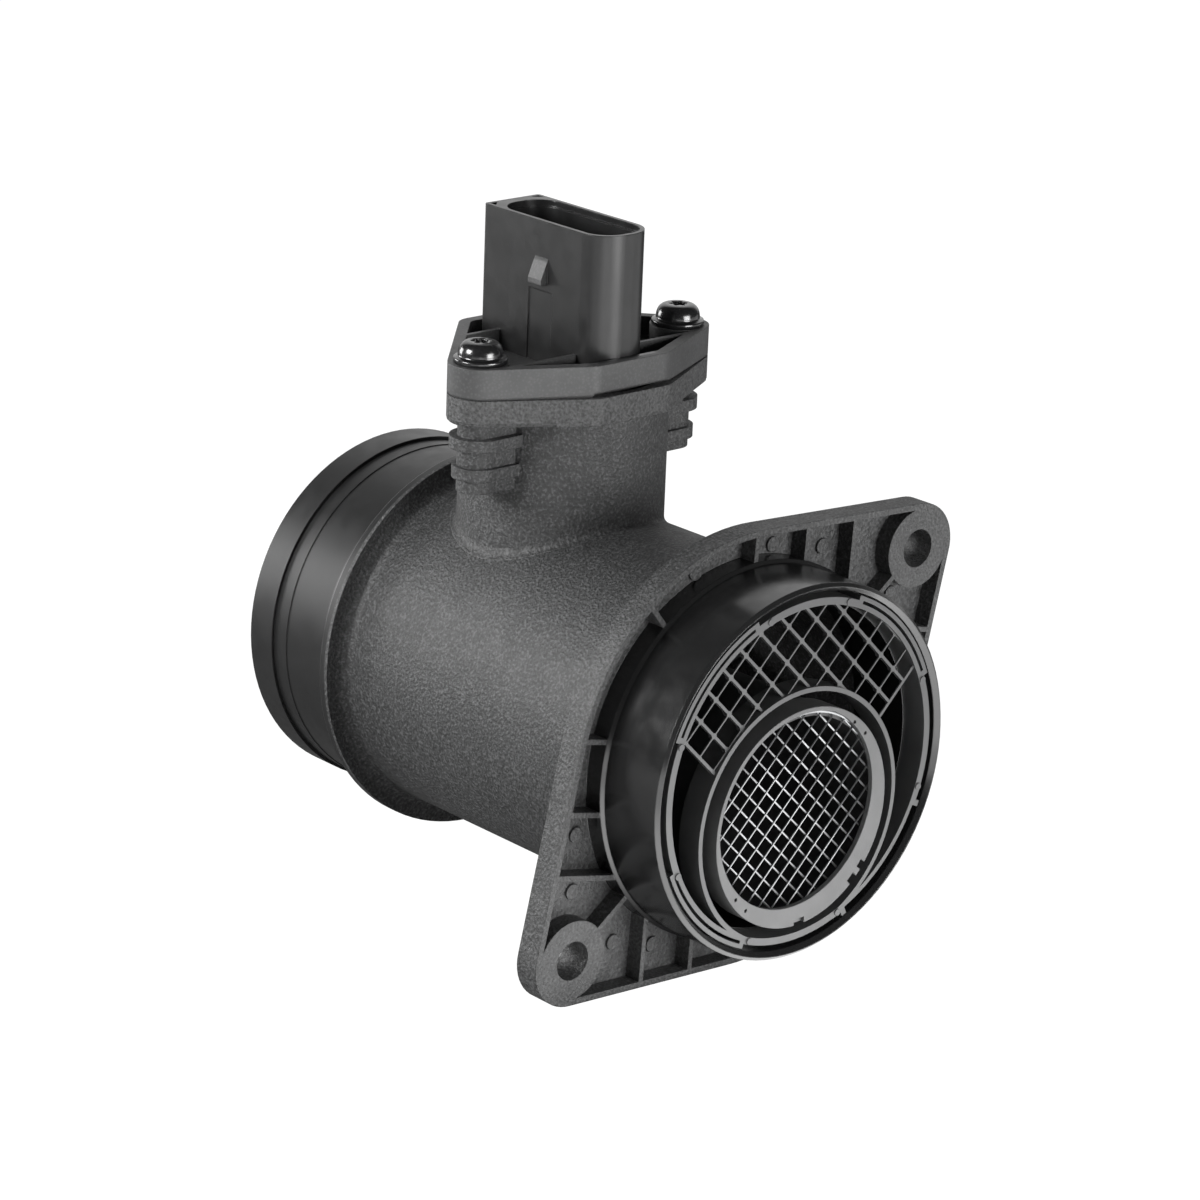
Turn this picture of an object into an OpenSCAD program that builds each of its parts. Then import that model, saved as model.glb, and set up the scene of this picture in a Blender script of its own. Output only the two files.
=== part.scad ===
// Hot-film mass airflow sensor: a moulded measuring tube with a two-hole inlet flange,
// a plug-in sensor on a turret, and a protective grid in the inlet collar.
// X runs along the air duct, out of the inlet; Z runs up the turret.
// The origin lies on the duct axis, in the front face of the inlet flange.

/* [Duct] */
// Diameter of the air bore
bore_d = 62; // [58:0.5:66]
// Wall of the tube between flange and shoulder
tube_wall = 2.6; // [2.2:0.1:3]
// Length from the flange front face to the outlet end
duct_l = 104.6; // [98:0.2:115]

/* [Outlet] */
// Wall of the hose seat behind the bead
seat_wall = 3.4; // [3:0.1:3.8]
// Height of the hose bead over the seat
bead_h = 0.6; // [0.4:0.1:1]
// Length of the hose bead
bead_l = 7.2; // [4:0.1:9]
// Height of the hose stop shoulder over the seat
shoulder_h = 3.4; // [3:0.1:5]
// Distance from the flange front face to the shoulder face
shoulder_x = 76.4; // [75.6:0.2:84]
// Width of the shoulder
shoulder_w = 2.4; // [1.6:0.1:4]

/* [Inlet collar] */
// Wall of the collar round the grid insert
collar_wall = 1.6; // [1.3:0.1:2.1]
// Length of the collar ahead of the flange
collar_l = 14.6; // [12.6:0.2:20]
// Step from the air bore out to the counterbore that takes the grid insert
recess_step = 2.9; // [2.5:0.1:3.2]
// Depth of that counterbore
recess_l = 6; // [5:0.1:8]

/* [Inlet flange] */
// Reach of the round part of the flange beyond the collar
flange_reach = 6.4; // [5:0.1:8]
// Thickness of the flange over its rim
flange_t = 5.1; // [4.4:0.1:8]
// Thickness of the flange floor behind the ribs
floor_t = 1.5; // [1:0.1:2.5]
// Width of the raised rim
rim_w = 1.2; // [0.8:0.1:2]
// Half distance between the bolt holes across the duct
hole_y = 41; // [39:0.5:44]
// Half distance between the bolt holes up the duct
hole_z = 31; // [29:0.5:34]
// Diameter of a bolt hole
hole_d = 7.3; // [6.4:0.1:8]
// Diameter of the solid boss round a bolt hole
boss_d = 15.2; // [13:0.2:16.4]
// Outer radius of a flange corner
corner_r = 8.65; // [8.25:0.05:9.5]
// Thickness of a stiffening rib
rib_w = 1; // [0.7:0.1:1.6]

/* [Turret] */
// Distance of the turret axis behind the flange front face
turret_x = 54.2; // [50:0.2:56]
// Outside diameter of the turret
turret_d = 39.2; // [38:0.2:40]
// Diameter of the turret bore
turret_bore = 33.4; // [33:0.1:34]
// Height of the joint between turret and sensor above the duct axis
joint_z = 59.5; // [57:0.5:64]
// Thickness of the turret plate
head_t = 5.2; // [4:0.1:7]
// Half distance between the two sensor screws
screw_y = 24.2; // [23.8:0.1:26]
// Distance of the screws ahead of the turret axis
screw_dx = 4.1; // [3:0.1:5]
// Outer radius of the plates round a screw
end_r = 6; // [5.7:0.1:7]
// Reach of the plates behind the turret axis
plate_back = 20.9; // [20.2:0.1:23]
// Reach of the plates ahead of the turret axis
plate_front = 18.7; // [18:0.1:20]
// Radius of a screw post
post_r = 3.7; // [3.4:0.1:4.4]
// Length of a screw post under the turret plate
post_l = 13.3; // [11:0.1:15]

/* [Sensor head] */
// Height of the sensor plate over its rim
plate_t = 5.9; // [5:0.1:8]
// Thickness of the floor of the sensor plate
plate_floor = 2.2; // [1.6:0.1:3]
// Width of the rim round the sensor plate
plate_rim = 2.2; // [1.6:0.1:3]
// Length of the connector shell along the duct
shell_l = 33.4; // [30:0.2:34]
// Width of the connector shell
shell_w = 13.3; // [12:0.1:15]
// Height of the connector shell above the rim of the plate
shell_h = 23; // [20:0.5:28]
// Wall of the connector shell
shell_wall = 1.3; // [1:0.1:1.8]
// Depth of the connector socket
socket_l = 18.4; // [15:0.2:19]
// Radial clearance between the sensor neck and the turret bore
neck_gap = 0.3; // [0.15:0.05:0.4]
// Length of the sensor neck in the turret
neck_l = 10; // [9:0.5:12]
// Thickness of the seal ring
seal_t = 2.1; // [1.8:0.1:2.3]

/* [Terminals] */
// Number of terminals
terminal_n = 5; // [5]
// Distance from one terminal to the next
terminal_pitch = 4.6; // [4:0.1:5]
// Width of a terminal blade
terminal_w = 1.6; // [1.2:0.1:2.4]
// Thickness of a terminal blade
terminal_t = 0.8; // [0.6:0.1:1]
// Height of a terminal above the floor of the socket
terminal_h = 9.5; // [7:0.5:12]

/* [Screws] */
// Diameter of the screw shank
shank_d = 4.2; // [3.6:0.1:4.4]
// Diameter of the screw washer face
washer_d = 10; // [9:0.1:11]
// Diameter of the screw dome
dome_d = 8.4; // [7:0.1:8.8]
// Length of the screw shank
shank_l = 18; // [15:0.5:19]

/* [Sensor finger] */
// Width of the finger along the duct
finger_w = 27; // [25:0.5:28]
// Thickness of the finger across the duct
finger_t = 12; // [11:0.5:13]
// Reach of the finger below the axis of the inner tube
finger_low = 8.5; // [7:0.5:12]
// Thickness of the two finger covers
cover_t = 1.2; // [0.8:0.1:1.6]
// Thickness of the metal base plate
base_t = 1.2; // [0.8:0.1:1.5]
// Thickness of the ceramic board
board_t = 1; // [0.6:0.1:1.2]

/* [Inner flow tube] */
// Free gap between the inner flow tube and the bottom of the bore
flow_foot = 2.3; // [1.9:0.1:3.2]
// Outside diameter of the inner flow tube
flow_d = 40.4; // [39:0.2:40.6]
// Wall of the inner flow tube
flow_wall = 1.4; // [1:0.1:2]
// Length of the inner flow tube
flow_l = 88; // [84:0.5:95]
// Clearance between its fins and the bore
fin_gap = 0.2; // [0.1:0.05:0.3]
// Thickness of a fin
fin_t = 1.8; // [1.2:0.1:2.4]

/* [Inlet screens] */
// Step from the air bore out to the inside of the outer ring of the grid insert
ring_step = 0.3; // [0.1:0.1:0.5]
// Depth of the grid insert
insert_l = 5.2; // [4:0.1:5.6]
// Free gap between the inner flow tube and the inner ring of the grid insert
inner_gap = 3.4; // [3:0.1:3.8]
// Wall of that inner ring
inner_wall = 0.9; // [0.7:0.1:1.2]
// Distance from one coarse grid bar to the next
coarse_pitch = 4.8; // [4:0.1:6]
// Width of a coarse grid bar in the back layer
coarse_bar = 0.55; // [0.5:0.05:1]
// Width of a coarse grid bar in the front layer
coarse_thin = 0.3; // [0.3:0.05:0.8]
// Distance from one fine screen wire to the next
fine_pitch = 2.95; // [2.6:0.05:3.4]
// Width of a fine screen wire
fine_bar = 0.4; // [0.3:0.05:0.6]
// Step from the inner flow tube out to the outside of the screen frame
frame_step = 0.75; // [0.6:0.05:1.2]

/* [Hidden] */
$fn = 96;
// A cut starts and ends this far outside the solid that it cuts
eps = 0.2;
// Sliding clearance between a loose piece and its pocket
slip = 0.1;

tube_d = bore_d + 2 * tube_wall;
seat_d = bore_d + 2 * seat_wall;
outlet_d = seat_d + 2 * bead_h;
shoulder_d = seat_d + 2 * shoulder_h;
recess_d = bore_d + 2 * recess_step;
collar_d = recess_d + 2 * collar_wall;
flange_d = collar_d + 2 * flange_reach;
ring_bore = bore_d + 2 * ring_step;
flow_drop = bore_d / 2 - flow_d / 2 - flow_foot;
inner_bore = flow_d + 2 * inner_gap;
frame_d = flow_d + 2 * frame_step;
head_z = joint_z - head_t;
rim_z = joint_z + plate_t;
floor_z = joint_z + plate_floor;
shell_top = rim_z + shell_h;
socket_z = shell_top - socket_l;
// Middle of the shell ahead of the turret axis
shell_mid = -0.2;
shell_back = shell_mid - shell_l / 2;
neck_r = turret_bore / 2 - neck_gap;
neck_z = joint_z - neck_l;
flange_floor = floor_t - flange_t;
insert_x = collar_l - recess_l;
ring_r = recess_d / 2 - 0.3;
inner_r = inner_bore / 2 + inner_wall;
// Free gap between the ring and the collar where it has no spring arm
ring_relief = 0.9;

// Carries a drawing in the YZ plane to x = at and gives it a thickness along X
module across(at, t) {
    translate([at, 0, 0]) rotate([90, 0, 90]) linear_extrude(t) children();
}

// Turns a profile of [radius, x] points about the X axis
module about_x() {
    rotate([0, 90, 0]) rotate_extrude() children();
}

module at_turret() {
    translate([-turret_x, 0, 0]) children();
}

// Tangent points of a belt round circles [x, y, r] given anticlockwise
function belt(c) = [for (i = [0:len(c) - 1])
    let (a = c[i], b = c[(i + 1) % len(c)], d = [b.x - a.x, b.y - a.y],
         n = atan2(d.y, d.x) - acos((a.z - b.z) / norm(d)))
    each [[a.x + a.z * cos(n), a.y + a.z * sin(n)], [b.x + b.z * cos(n), b.y + b.z * sin(n)]]];

// Area inside such a belt
module belted(c) {
    polygon(belt(c));
    for (q = c) translate([q.x, q.y]) circle(r = q.z);
}

function shrink(c, by) = [for (q = c) [q.x, q.y, q.z - by]];

module ring2d(ro, ri) {
    difference() {
        circle(r = ro);
        circle(r = ri);
    }
}

// Round part and two corners of the flange, moved in by a distance;
// the straight edges lie a hair further in, so that they cross the circles
function flange_circles(by) = [
    [hole_y, hole_z, corner_r - by],
    [0, 0, flange_d / 2 - by],
    [-hole_y, -hole_z, corner_r - by],
    [0, 0, flange_d / 2 - by]];
hole_l = norm([hole_y, hole_z]);
hole_a = atan2(hole_z, hole_y);
// Half angle between the two straight edges that run to one corner
edge_a = acos((flange_d / 2 - corner_r) / hole_l);

module flange_area(by) {
    polygon(belt(flange_circles(by + 0.003)));
    circle(r = flange_d / 2 - by);
    at_holes() circle(r = corner_r - by);
}

module at_holes() {
    for (s = [-1, 1]) translate([s * hole_y, s * hole_z]) children();
}

// Ribs square to the straight edges, seen from the foot of each edge
long_edge_ribs = [-22, -10, 2.6];
short_edge_ribs = [-1.45, 12, 23.7];
// Marks of the ejector pins on the flange floor, as [angle, radius]
pin_marks = [[30, 43.7], [61, 39.6], [80, 37.9], [109, 37.6],
             [192.5, 39.3], [206.5, 43.3], [228, 42.6], [241.4, 39.4], [257, 38]];
pin_mark_r = 1.5;
pin_mark_h = 0.5;
short_rib_a = 128;
// Round boss behind the flange at each bolt hole: its height and its wall
back_boss_h = 1.7;
back_boss_w = 1.8;

// Where the ribs start, inside the collar wall
rib_foot = 20;

module edge_ribs(normal, places) {
    rotate(normal) for (p = places)
        translate([rib_foot, p - rib_w / 2]) square([flange_d / 2, rib_w]);
}

module flange_ribs() {
    for (s = [0, 180]) {
        edge_ribs(hole_a + edge_a + s, long_edge_ribs);
        edge_ribs(hole_a - edge_a + s, short_edge_ribs);
        rotate(hole_a + s) translate([rib_foot, -rib_w / 2]) square([hole_l - rib_foot - hole_d, rib_w]);
        rotate(short_rib_a + s) translate([rib_foot, -rib_w / 2]) square([flange_d / 2, rib_w]);
    }
}

// Rounds the narrow ends of the pockets between a boss and the rim
fillet_r = 1.4;
fillet_n = corner_r - rim_w - fillet_r;
fillet_t = sqrt(pow(boss_d / 2 + fillet_r, 2) - pow(fillet_n, 2));

module boss_fillets() {
    for (s = [0, 180]) for (m = [0, 1]) rotate(hole_a + s) mirror([0, m]) translate([hole_l, 0]) rotate(edge_a)
        difference() {
            translate([0, -fillet_t]) square([corner_r - rim_w / 2, fillet_t]);
            translate([fillet_n, -fillet_t]) circle(r = fillet_r);
        }
}

module flange() {
    difference() {
        across(-flange_t, flange_t) flange_area(0);
        across(flange_floor, eps - flange_floor) difference() {
            flange_area(rim_w);
            flange_ribs();
            at_holes() circle(d = boss_d);
            boss_fillets();
        }
    }
    across(flange_floor - eps, eps + pin_mark_h) for (m = pin_marks)
        rotate(m[0]) translate([m[1], 0]) circle(r = pin_mark_r, $fn = 12);
    across(-flange_t - back_boss_h, back_boss_h + eps) at_holes() circle(d = hole_d + 2 * back_boss_w);
}

// Outside of the duct from the outlet to the collar, as [radius, x]
lead = 0.7;
flare_l = 4;
flare_n = 4;
step_l = 3.8;
step_h = 0.15;
cove = 2.2;
cove_n = 3;
flare_x = -shoulder_x - shoulder_w;
// Thicker root of the collar between the ribs; it slopes in to the collar just ahead of them
root_h = 0.6;
root_x = 0.1;
// Quarter of an ellipse that curves up from the hose seat to the shoulder
function flare() = [for (i = [0:flare_n]) let (a = 90 * i / flare_n)
    [seat_d / 2 - step_h + (shoulder_d / 2 - seat_d / 2) * (1 - cos(a)), flare_x - flare_l * (1 - sin(a))]];
// Quarter round from the shoulder face down to the tube
function foot() = [for (i = [0:cove_n]) let (a = 90 * i / cove_n)
    [tube_d / 2 + cove * (1 - sin(a)), -shoulder_x + cove * (1 - cos(a))]];
function duct_outline() = [
    [bore_d / 2 - eps, -duct_l],
    [outlet_d / 2 - lead, -duct_l],
    [outlet_d / 2, lead * 0.7 - duct_l],
    [outlet_d / 2, bead_l - duct_l],
    [seat_d / 2, bead_l - duct_l],
    [seat_d / 2, bead_l + step_l - duct_l],
    [seat_d / 2 - step_h, bead_l + step_l - duct_l],
    each flare(),
    [shoulder_d / 2, flare_x + 0.3],
    [shoulder_d / 2, -shoulder_x],
    each foot(),
    [tube_d / 2, -flange_t],
    [collar_d / 2 + root_h, -flange_t],
    [collar_d / 2 + root_h, root_x],
    [collar_d / 2, root_x + root_h],
    [collar_d / 2, collar_l - 0.7],
    [collar_d / 2 - 0.7, collar_l],
    [bore_d / 2 - eps, collar_l]];

module duct_outside() {
    about_x() polygon(duct_outline());
}

module duct_bore() {
    rotate([0, -90, 0]) translate([0, 0, -collar_l - eps]) cylinder(d = bore_d, h = duct_l + collar_l + 2 * eps);
    translate([insert_x, 0, 0]) rotate([0, 90, 0]) cylinder(d = recess_d, h = recess_l + eps);
    about_x() polygon([[recess_d / 2 - eps, collar_l - 0.9 - eps], [recess_d / 2 + 0.9 + eps, collar_l + eps],
                       [recess_d / 2 - eps, collar_l + eps]]);
    about_x() polygon([[bore_d / 2 - eps, -duct_l - eps], [bore_d / 2 + 1 + eps, -duct_l - eps],
                       [bore_d / 2 - eps, -duct_l + 1 + eps]]);
}

// Outline that the turret plate and the sensor plate share, about the turret axis
plate_corner = 4.5;
function plate_circles(front = plate_front) = [
    [screw_dx, screw_y, end_r],
    [plate_corner - plate_back, 6.7, plate_corner],
    [plate_corner - plate_back, -6.7, plate_corner],
    [screw_dx, -screw_y, end_r],
    [front - plate_corner, -7.5, plate_corner],
    [front - plate_corner, 7.5, plate_corner]];

// Area inside that outline, moved in by a distance; its straight edges lie a hair further in
module plate_area(by) {
    polygon(belt(shrink(plate_circles(), by + 0.003)));
    for (q = shrink(plate_circles(), by)) translate([q.x, q.y]) circle(r = q.z);
}

module at_screws() {
    for (s = [0, 1]) mirror([0, s, 0]) translate([screw_dx, -screw_y, 0]) children();
}

// A post section: round at the screw, straight towards the turret
module post_section(r) {
    circle(r = r);
    translate([-r, 0]) square([2 * r, screw_y - turret_d / 2 + 2]);
}

post_rib_t = 2.3;
// Ribs round a post, as [distance under the plate, height of the rib]
post_ribs = [[2.7, 1.5], [8.4, 0.9]];
post_dx = -0.3;

// The post on the +Y side stands a little further in and is a little shorter
post_in = 0.8;
post_less = 0.7;

module screw_posts() {
    for (s = [0, 1]) mirror([0, s, 0]) translate([screw_dx + post_dx, s * post_in - screw_y, 0]) {
        translate([0, 0, head_z - post_l + s * post_less]) linear_extrude(post_l - s * post_less + eps)
            post_section(post_r);
        for (p = post_ribs) translate([0, 0, head_z - p[0] - post_rib_t])
            linear_extrude(post_rib_t) post_section(post_r + p[1]);
    }
}

pilot_d = shank_d + 0.1;
pilot_l = shank_l + 1 - plate_t;

// Lower edge of the turret plate, rounded in thin layers
edge_r = 0.8;
edge_n = 3;
// Front of the turret plate, sharp below, just ahead of the turret
turret_front = turret_d / 2 + 0.1;
front_x0 = turret_front - plate_corner + 0.6;

module turret_outside() {
    cylinder(d = turret_d, h = joint_z - eps);
    for (i = [0:edge_n]) let (a = 90 * i / edge_n)
        translate([0, 0, head_z + edge_r * (1 - cos(a))]) linear_extrude(head_t - edge_r * (1 - cos(a)))
            belted(shrink(plate_circles(turret_front), edge_r * (1 - sin(a))));
    translate([0, 0, head_z]) linear_extrude(head_t) intersection() {
        belted(plate_circles(turret_front));
        translate([front_x0, -screw_y]) square([plate_front, 2 * screw_y]);
    }
    screw_posts();
}

module turret_cuts() {
    translate([0, 0, 0]) cylinder(d = turret_bore, h = joint_z + eps);
    translate([0, 0, joint_z - 1.4]) cylinder(d1 = turret_bore, d2 = turret_bore + 3.2 + 0.4, h = 1.6);
    at_screws() translate([0, 0, joint_z - pilot_l]) cylinder(d = pilot_d, h = pilot_l + eps);
}

module housing() {
    color([0.20, 0.21, 0.22]) difference() {
        union() {
            duct_outside();
            flange();
            at_turret() turret_outside();
        }
        duct_bore();
        at_turret() turret_cuts();
        across(-flange_t - back_boss_h - eps, flange_t + back_boss_h + 2 * eps) at_holes() circle(d = hole_d);
    }
}

// Spring leaves of the grid insert, one in each quarter, as [middle angle, has an outer arm]
leaves = [[45, true], [135, true], [225, true], [315, false]];
leaf_a = 21;
leaf_t = 0.9;
leaf_slot = 0.6;
leaf_r = ring_bore / 2 + leaf_t;
// Round pips on the face of the ring, as angles from the top
pips = [-160, -114, -69, -17.5, 17.5, 69, 107.5, 159.5];
pip_r = 0.65;
pip_h = 0.25;

module sector(r, a0, a1) {
    polygon([[0, 0], for (i = [0:4]) r * [cos(a0 + (a1 - a0) * i / 4), sin(a0 + (a1 - a0) * i / 4)]]);
}

module arc_cut(ri, ro, middle, a) {
    intersection() {
        ring2d(ro, ri);
        sector(2 * ro, middle - a, middle + a);
    }
}

module snap_ring() {
    difference() {
        circle(r = ring_r);
        circle(d = ring_bore);
        for (q = leaves) {
            arc_cut(leaf_r, q[1] ? leaf_r + leaf_slot : ring_r + eps, q[0], leaf_a);
            // free gap outside the ring, between one leaf and the next
            arc_cut(ring_r - ring_relief, ring_r + eps, q[0] - 45, 45 - leaf_a - 2);
        }
    }
}

module ring_pips() {
    for (a = pips) rotate(90 - a) translate([ring_bore / 2 + 0.7, 0]) circle(r = pip_r, $fn = 24);
}

// Lattice lines at 45 degrees, as distances from the duct axis
coarse_a0 = 2.6;
coarse_b0 = 4.1;
coarse_n = 7;
knob_r = 0.6;
coarse_low_a = -12;
coarse_low_b = -10;

module coarse_lines(first, w) {
    for (k = [-coarse_n:coarse_n]) if (first + k * coarse_pitch > coarse_low_a)
        translate([-ring_bore, first + k * coarse_pitch - w / 2]) square([2 * ring_bore, w]);
}

module inner_ring_area(r) {
    translate([0, -flow_drop]) circle(r = r);
}

// Ring segment above the inner ring that carries the coarse grid
module coarse_field() {
    difference() {
        circle(d = ring_bore + eps);
        inner_ring_area(inner_r - eps);
        rotate(-45) translate([-2 * ring_bore, coarse_low_a - 2 * ring_bore]) square([4 * ring_bore, 2 * ring_bore]);
        rotate(45) translate([-2 * ring_bore, coarse_low_b - 2 * ring_bore]) square([4 * ring_bore, 2 * ring_bore]);
    }
}

edge_bar = 0.6;

// Back layer: the bars that fall towards +Y, their edge bar and a knob at each crossing
module coarse_back() {
    intersection() {
        coarse_field();
        union() {
            rotate(-45) coarse_lines(coarse_a0, coarse_bar);
            rotate(-45) translate([-ring_bore, coarse_low_a]) square([2 * ring_bore, edge_bar]);
            rotate(45) for (i = [-coarse_n:coarse_n]) for (j = [-coarse_n:coarse_n])
                translate([coarse_a0 + i * coarse_pitch, coarse_b0 + j * coarse_pitch]) circle(r = knob_r, $fn = 8);
        }
    }
}

// Front layer: the thinner bars that rise towards +Y, and their edge bar
module coarse_front() {
    intersection() {
        coarse_field();
        union() {
            rotate(45) coarse_lines(coarse_b0, coarse_thin);
            rotate(45) translate([-ring_bore, coarse_low_b]) square([2 * ring_bore, edge_bar]);
        }
    }
}

grid_t = 1;
grid_front_t = 0.3;
grid_back = 1.6;

module grid_insert() {
    color([0.42, 0.43, 0.44]) {
        across(insert_x, insert_l) {
            snap_ring();
            intersection() {
                circle(d = ring_bore + eps);
                difference() {
                    inner_ring_area(inner_r);
                    inner_ring_area(inner_bore / 2);
                }
            }
        }
        across(insert_x + insert_l - grid_back, grid_t) coarse_back();
        across(insert_x + insert_l - grid_back + grid_t - grid_front_t, grid_front_t) coarse_front();
        across(insert_x + insert_l - eps, eps + pip_h) ring_pips();
    }
}

// Front end of the inner flow tube, behind the screen and its frame
screen_t = 0.5;
frame_t = 1;
flow_front = collar_l - frame_t - screen_t;
flow_r = flow_d / 2;
flow_back = flow_front - flow_l;
slot_gap = 0.6;
fin_l = 41;

module flow_tube() {
    color([0.16, 0.16, 0.17]) difference() {
        union() {
            translate([flow_back, 0, -flow_drop]) rotate([0, 90, 0]) cylinder(d = flow_d, h = flow_l);
            intersection() {
                translate([-turret_x - fin_l / 2, 0, -flow_drop]) for (a = [68, -68, 180]) rotate([a, 0, 0])
                    translate([0, -fin_t / 2, 0]) cube([fin_l, fin_t, bore_d]);
                translate([-duct_l, 0, 0]) rotate([0, 90, 0]) cylinder(r = bore_d / 2 - fin_gap, h = duct_l);
            }
        }
        translate([flow_back - eps, 0, -flow_drop]) rotate([0, 90, 0])
            cylinder(d = flow_d - 2 * flow_wall, h = flow_l + 2 * eps);
        at_turret() translate([-finger_w / 2 - slot_gap, -finger_t / 2 - slot_gap, -flow_drop])
            cube([finger_w + 2 * slot_gap, finger_t + 2 * slot_gap, flow_d]);
    }
}

fine_a0 = 1.16;
fine_b0 = -1.17;

module fine_wires(pitch, first) {
    for (k = [-7:7]) translate([-flow_r, first + k * pitch - fine_bar / 2]) square([flow_d, fine_bar]);
}

module fine_screen() {
    color([0.62, 0.63, 0.64]) across(flow_front, screen_t) translate([0, -flow_drop]) intersection() {
        circle(r = flow_r - slip);
        union() {
            ring2d(flow_r - slip, flow_r - flow_wall);
            rotate(45) fine_wires(fine_pitch + 0.1, fine_a0);
            rotate(-45) fine_wires(fine_pitch - 0.05, fine_b0);
        }
    }
}

// The window of the frame sits off its centre, up and towards -Y
window_r = 18.9;
window_y = -1.3;
window_z = 1.9;
skirt_l = 4;
// Notches in the edge of the frame, as [angle, width]
frame_notches = [[-88, 2.6], [-47.8, 2], [-39, 1.6]];
// Small holes in the face of the frame, as [angle, radius from its centre]
frame_holes = [[-142, 19.7], [-131, 19.7], [52.5, 19.9], [41, 19.9]];
frame_hole_r = 0.35;

module frame_window() {
    intersection() {
        circle(r = frame_d / 2 - 0.8);
        translate([window_y, window_z]) circle(r = window_r);
    }
}

module screen_frame() {
    color([0.36, 0.37, 0.38]) translate([0, 0, -flow_drop]) {
        across(flow_front + screen_t, frame_t) difference() {
            circle(d = frame_d);
            frame_window();
            for (q = frame_notches) rotate(q[0]) translate([frame_d / 2 - 1.2, -q[1] / 2]) square([2, q[1]]);
            for (q = frame_holes) rotate(q[0]) translate([q[1], 0]) circle(r = frame_hole_r, $fn = 16);
        }
        across(flow_front - skirt_l, skirt_l + screen_t) ring2d(frame_d / 2, flow_r + slip);
    }
}

// Sensor plate, neck and connector shell in one moulding
shell_corner = 5.6;
shell_edge = 0.6;
function shell_circles() = [
    [shell_back + shell_l - shell_corner, shell_w / 2 - shell_corner, shell_corner],
    [shell_back + shell_edge, shell_w / 2 - shell_edge, shell_edge],
    [shell_back + shell_edge, shell_edge - shell_w / 2, shell_edge],
    [shell_back + shell_l - shell_corner, shell_corner - shell_w / 2, shell_corner]];
socket_back = 3;
socket_r = shell_w / 2 - shell_wall - 1;
mouth_w = 0.45;
mouth_l = 1.2;
pocket_s = 1.7;
pocket_l = 5;
function socket_circles() = [
    [shell_back + shell_l - shell_corner, shell_w / 2 - shell_corner, shell_corner - shell_wall],
    [shell_back + socket_back + socket_r, shell_w / 2 - shell_wall - socket_r, socket_r],
    [shell_back + socket_back + socket_r, socket_r + shell_wall - shell_w / 2, socket_r],
    [shell_back + shell_l - shell_corner, shell_corner - shell_w / 2, shell_corner - shell_wall]];

// Small sink pockets in the two square corners of the shell
module corner_pockets() {
    for (s = [-1, 1]) translate([shell_back + 0.8, s * (shell_w / 2 - 0.8), shell_top - pocket_l])
        linear_extrude(pocket_l + eps) polygon([[0, 0], [pocket_s, 0], [0, -s * pocket_s]]);
}

// Shallow groove all round the joint between sensor plate and turret plate
joint_h = 0.35;
joint_in = 0.35;
boss_r = end_r - 0.7;
web_t = 1;
web_x = [-12.2, 9.6];
// Free gap under the front edge of the sensor plate
gap_h = 0.8;
gap_in = 1.6;
gap_y = -9;
gap_w = 24;

module head_pocket() {
    difference() {
        belted(shrink(plate_circles(), plate_rim));
        translate([0, 0]) belted(shell_circles());
        at_screws() circle(r = boss_r);
        for (x = web_x) translate([x, -screw_y]) square([web_t, 2 * screw_y]);
    }
}

latch_x = -1.95;
latch_w = 3.7;
latch_out = 1.6;
latch_top = 6.85;
latch_h = 4.8;
latch_face = 1;
panel_x = -3.5;
panel_w = 6.6;
panel_z = 13.1;
panel_t = 0.2;

// Ramp that the plug snaps behind, on the -Y face of the shell
module latch() {
    translate([latch_x, 0, shell_top]) rotate([90, 0, 90]) linear_extrude(latch_w)
        polygon([[eps - shell_w / 2, -latch_top], [-shell_w / 2, -latch_top],
                 [-shell_w / 2 - latch_out, latch_face - latch_top - latch_h],
                 [-shell_w / 2 - latch_out, -latch_top - latch_h],
                 [eps - shell_w / 2, -latch_top - latch_h]]);
}

seal_groove = neck_r + neck_gap - seal_t;
seal_w = seal_t + 1;
seal_z = neck_z + 3;
terminal_x0 = shell_mid + 0.4 - terminal_pitch * (terminal_n - 1) / 2;

module neck() {
    difference() {
        translate([0, 0, neck_z]) cylinder(r = neck_r, h = neck_l + eps);
        translate([0, 0, seal_z]) difference() {
            cylinder(r = neck_r + eps, h = seal_w);
            translate([0, 0, -eps]) cylinder(r = seal_groove, h = seal_w + 2 * eps);
        }
    }
}

module connector_head() {
    color([0.27, 0.28, 0.29]) at_turret() difference() {
        union() {
            translate([0, 0, joint_z + joint_h]) linear_extrude(plate_t - joint_h) belted(plate_circles());
            translate([0, 0, joint_z]) linear_extrude(joint_h + eps) plate_area(joint_in);
            translate([0, 0, floor_z]) linear_extrude(shell_top - floor_z) belted(shell_circles());
            latch();
            neck();
        }
        translate([0, 0, floor_z]) linear_extrude(plate_t) head_pocket();
        translate([0, 0, socket_z]) linear_extrude(socket_l + eps) belted(socket_circles());
        translate([0, 0, shell_top - mouth_l]) linear_extrude(mouth_l + eps) belted(shrink(socket_circles(), -mouth_w));
        corner_pockets();
        translate([panel_x, -shell_w / 2 - eps, floor_z]) cube([panel_w, eps + panel_t, shell_top - panel_z - floor_z]);
        at_screws() translate([0, 0, joint_z - eps]) cylinder(d = shank_d + 0.5, h = plate_t + 2 * eps);
        for (i = [0:terminal_n - 1]) translate([terminal_x0 + i * terminal_pitch, 0, neck_z - eps])
            linear_extrude(socket_z - neck_z + 2 * eps)
                square([terminal_w + 2 * slip / 2, terminal_t + 2 * slip / 2], center = true);
        translate([plate_front - gap_in, gap_y, joint_z - eps]) cube([2 * gap_in, gap_w, gap_h + eps]);
    }
}

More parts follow.
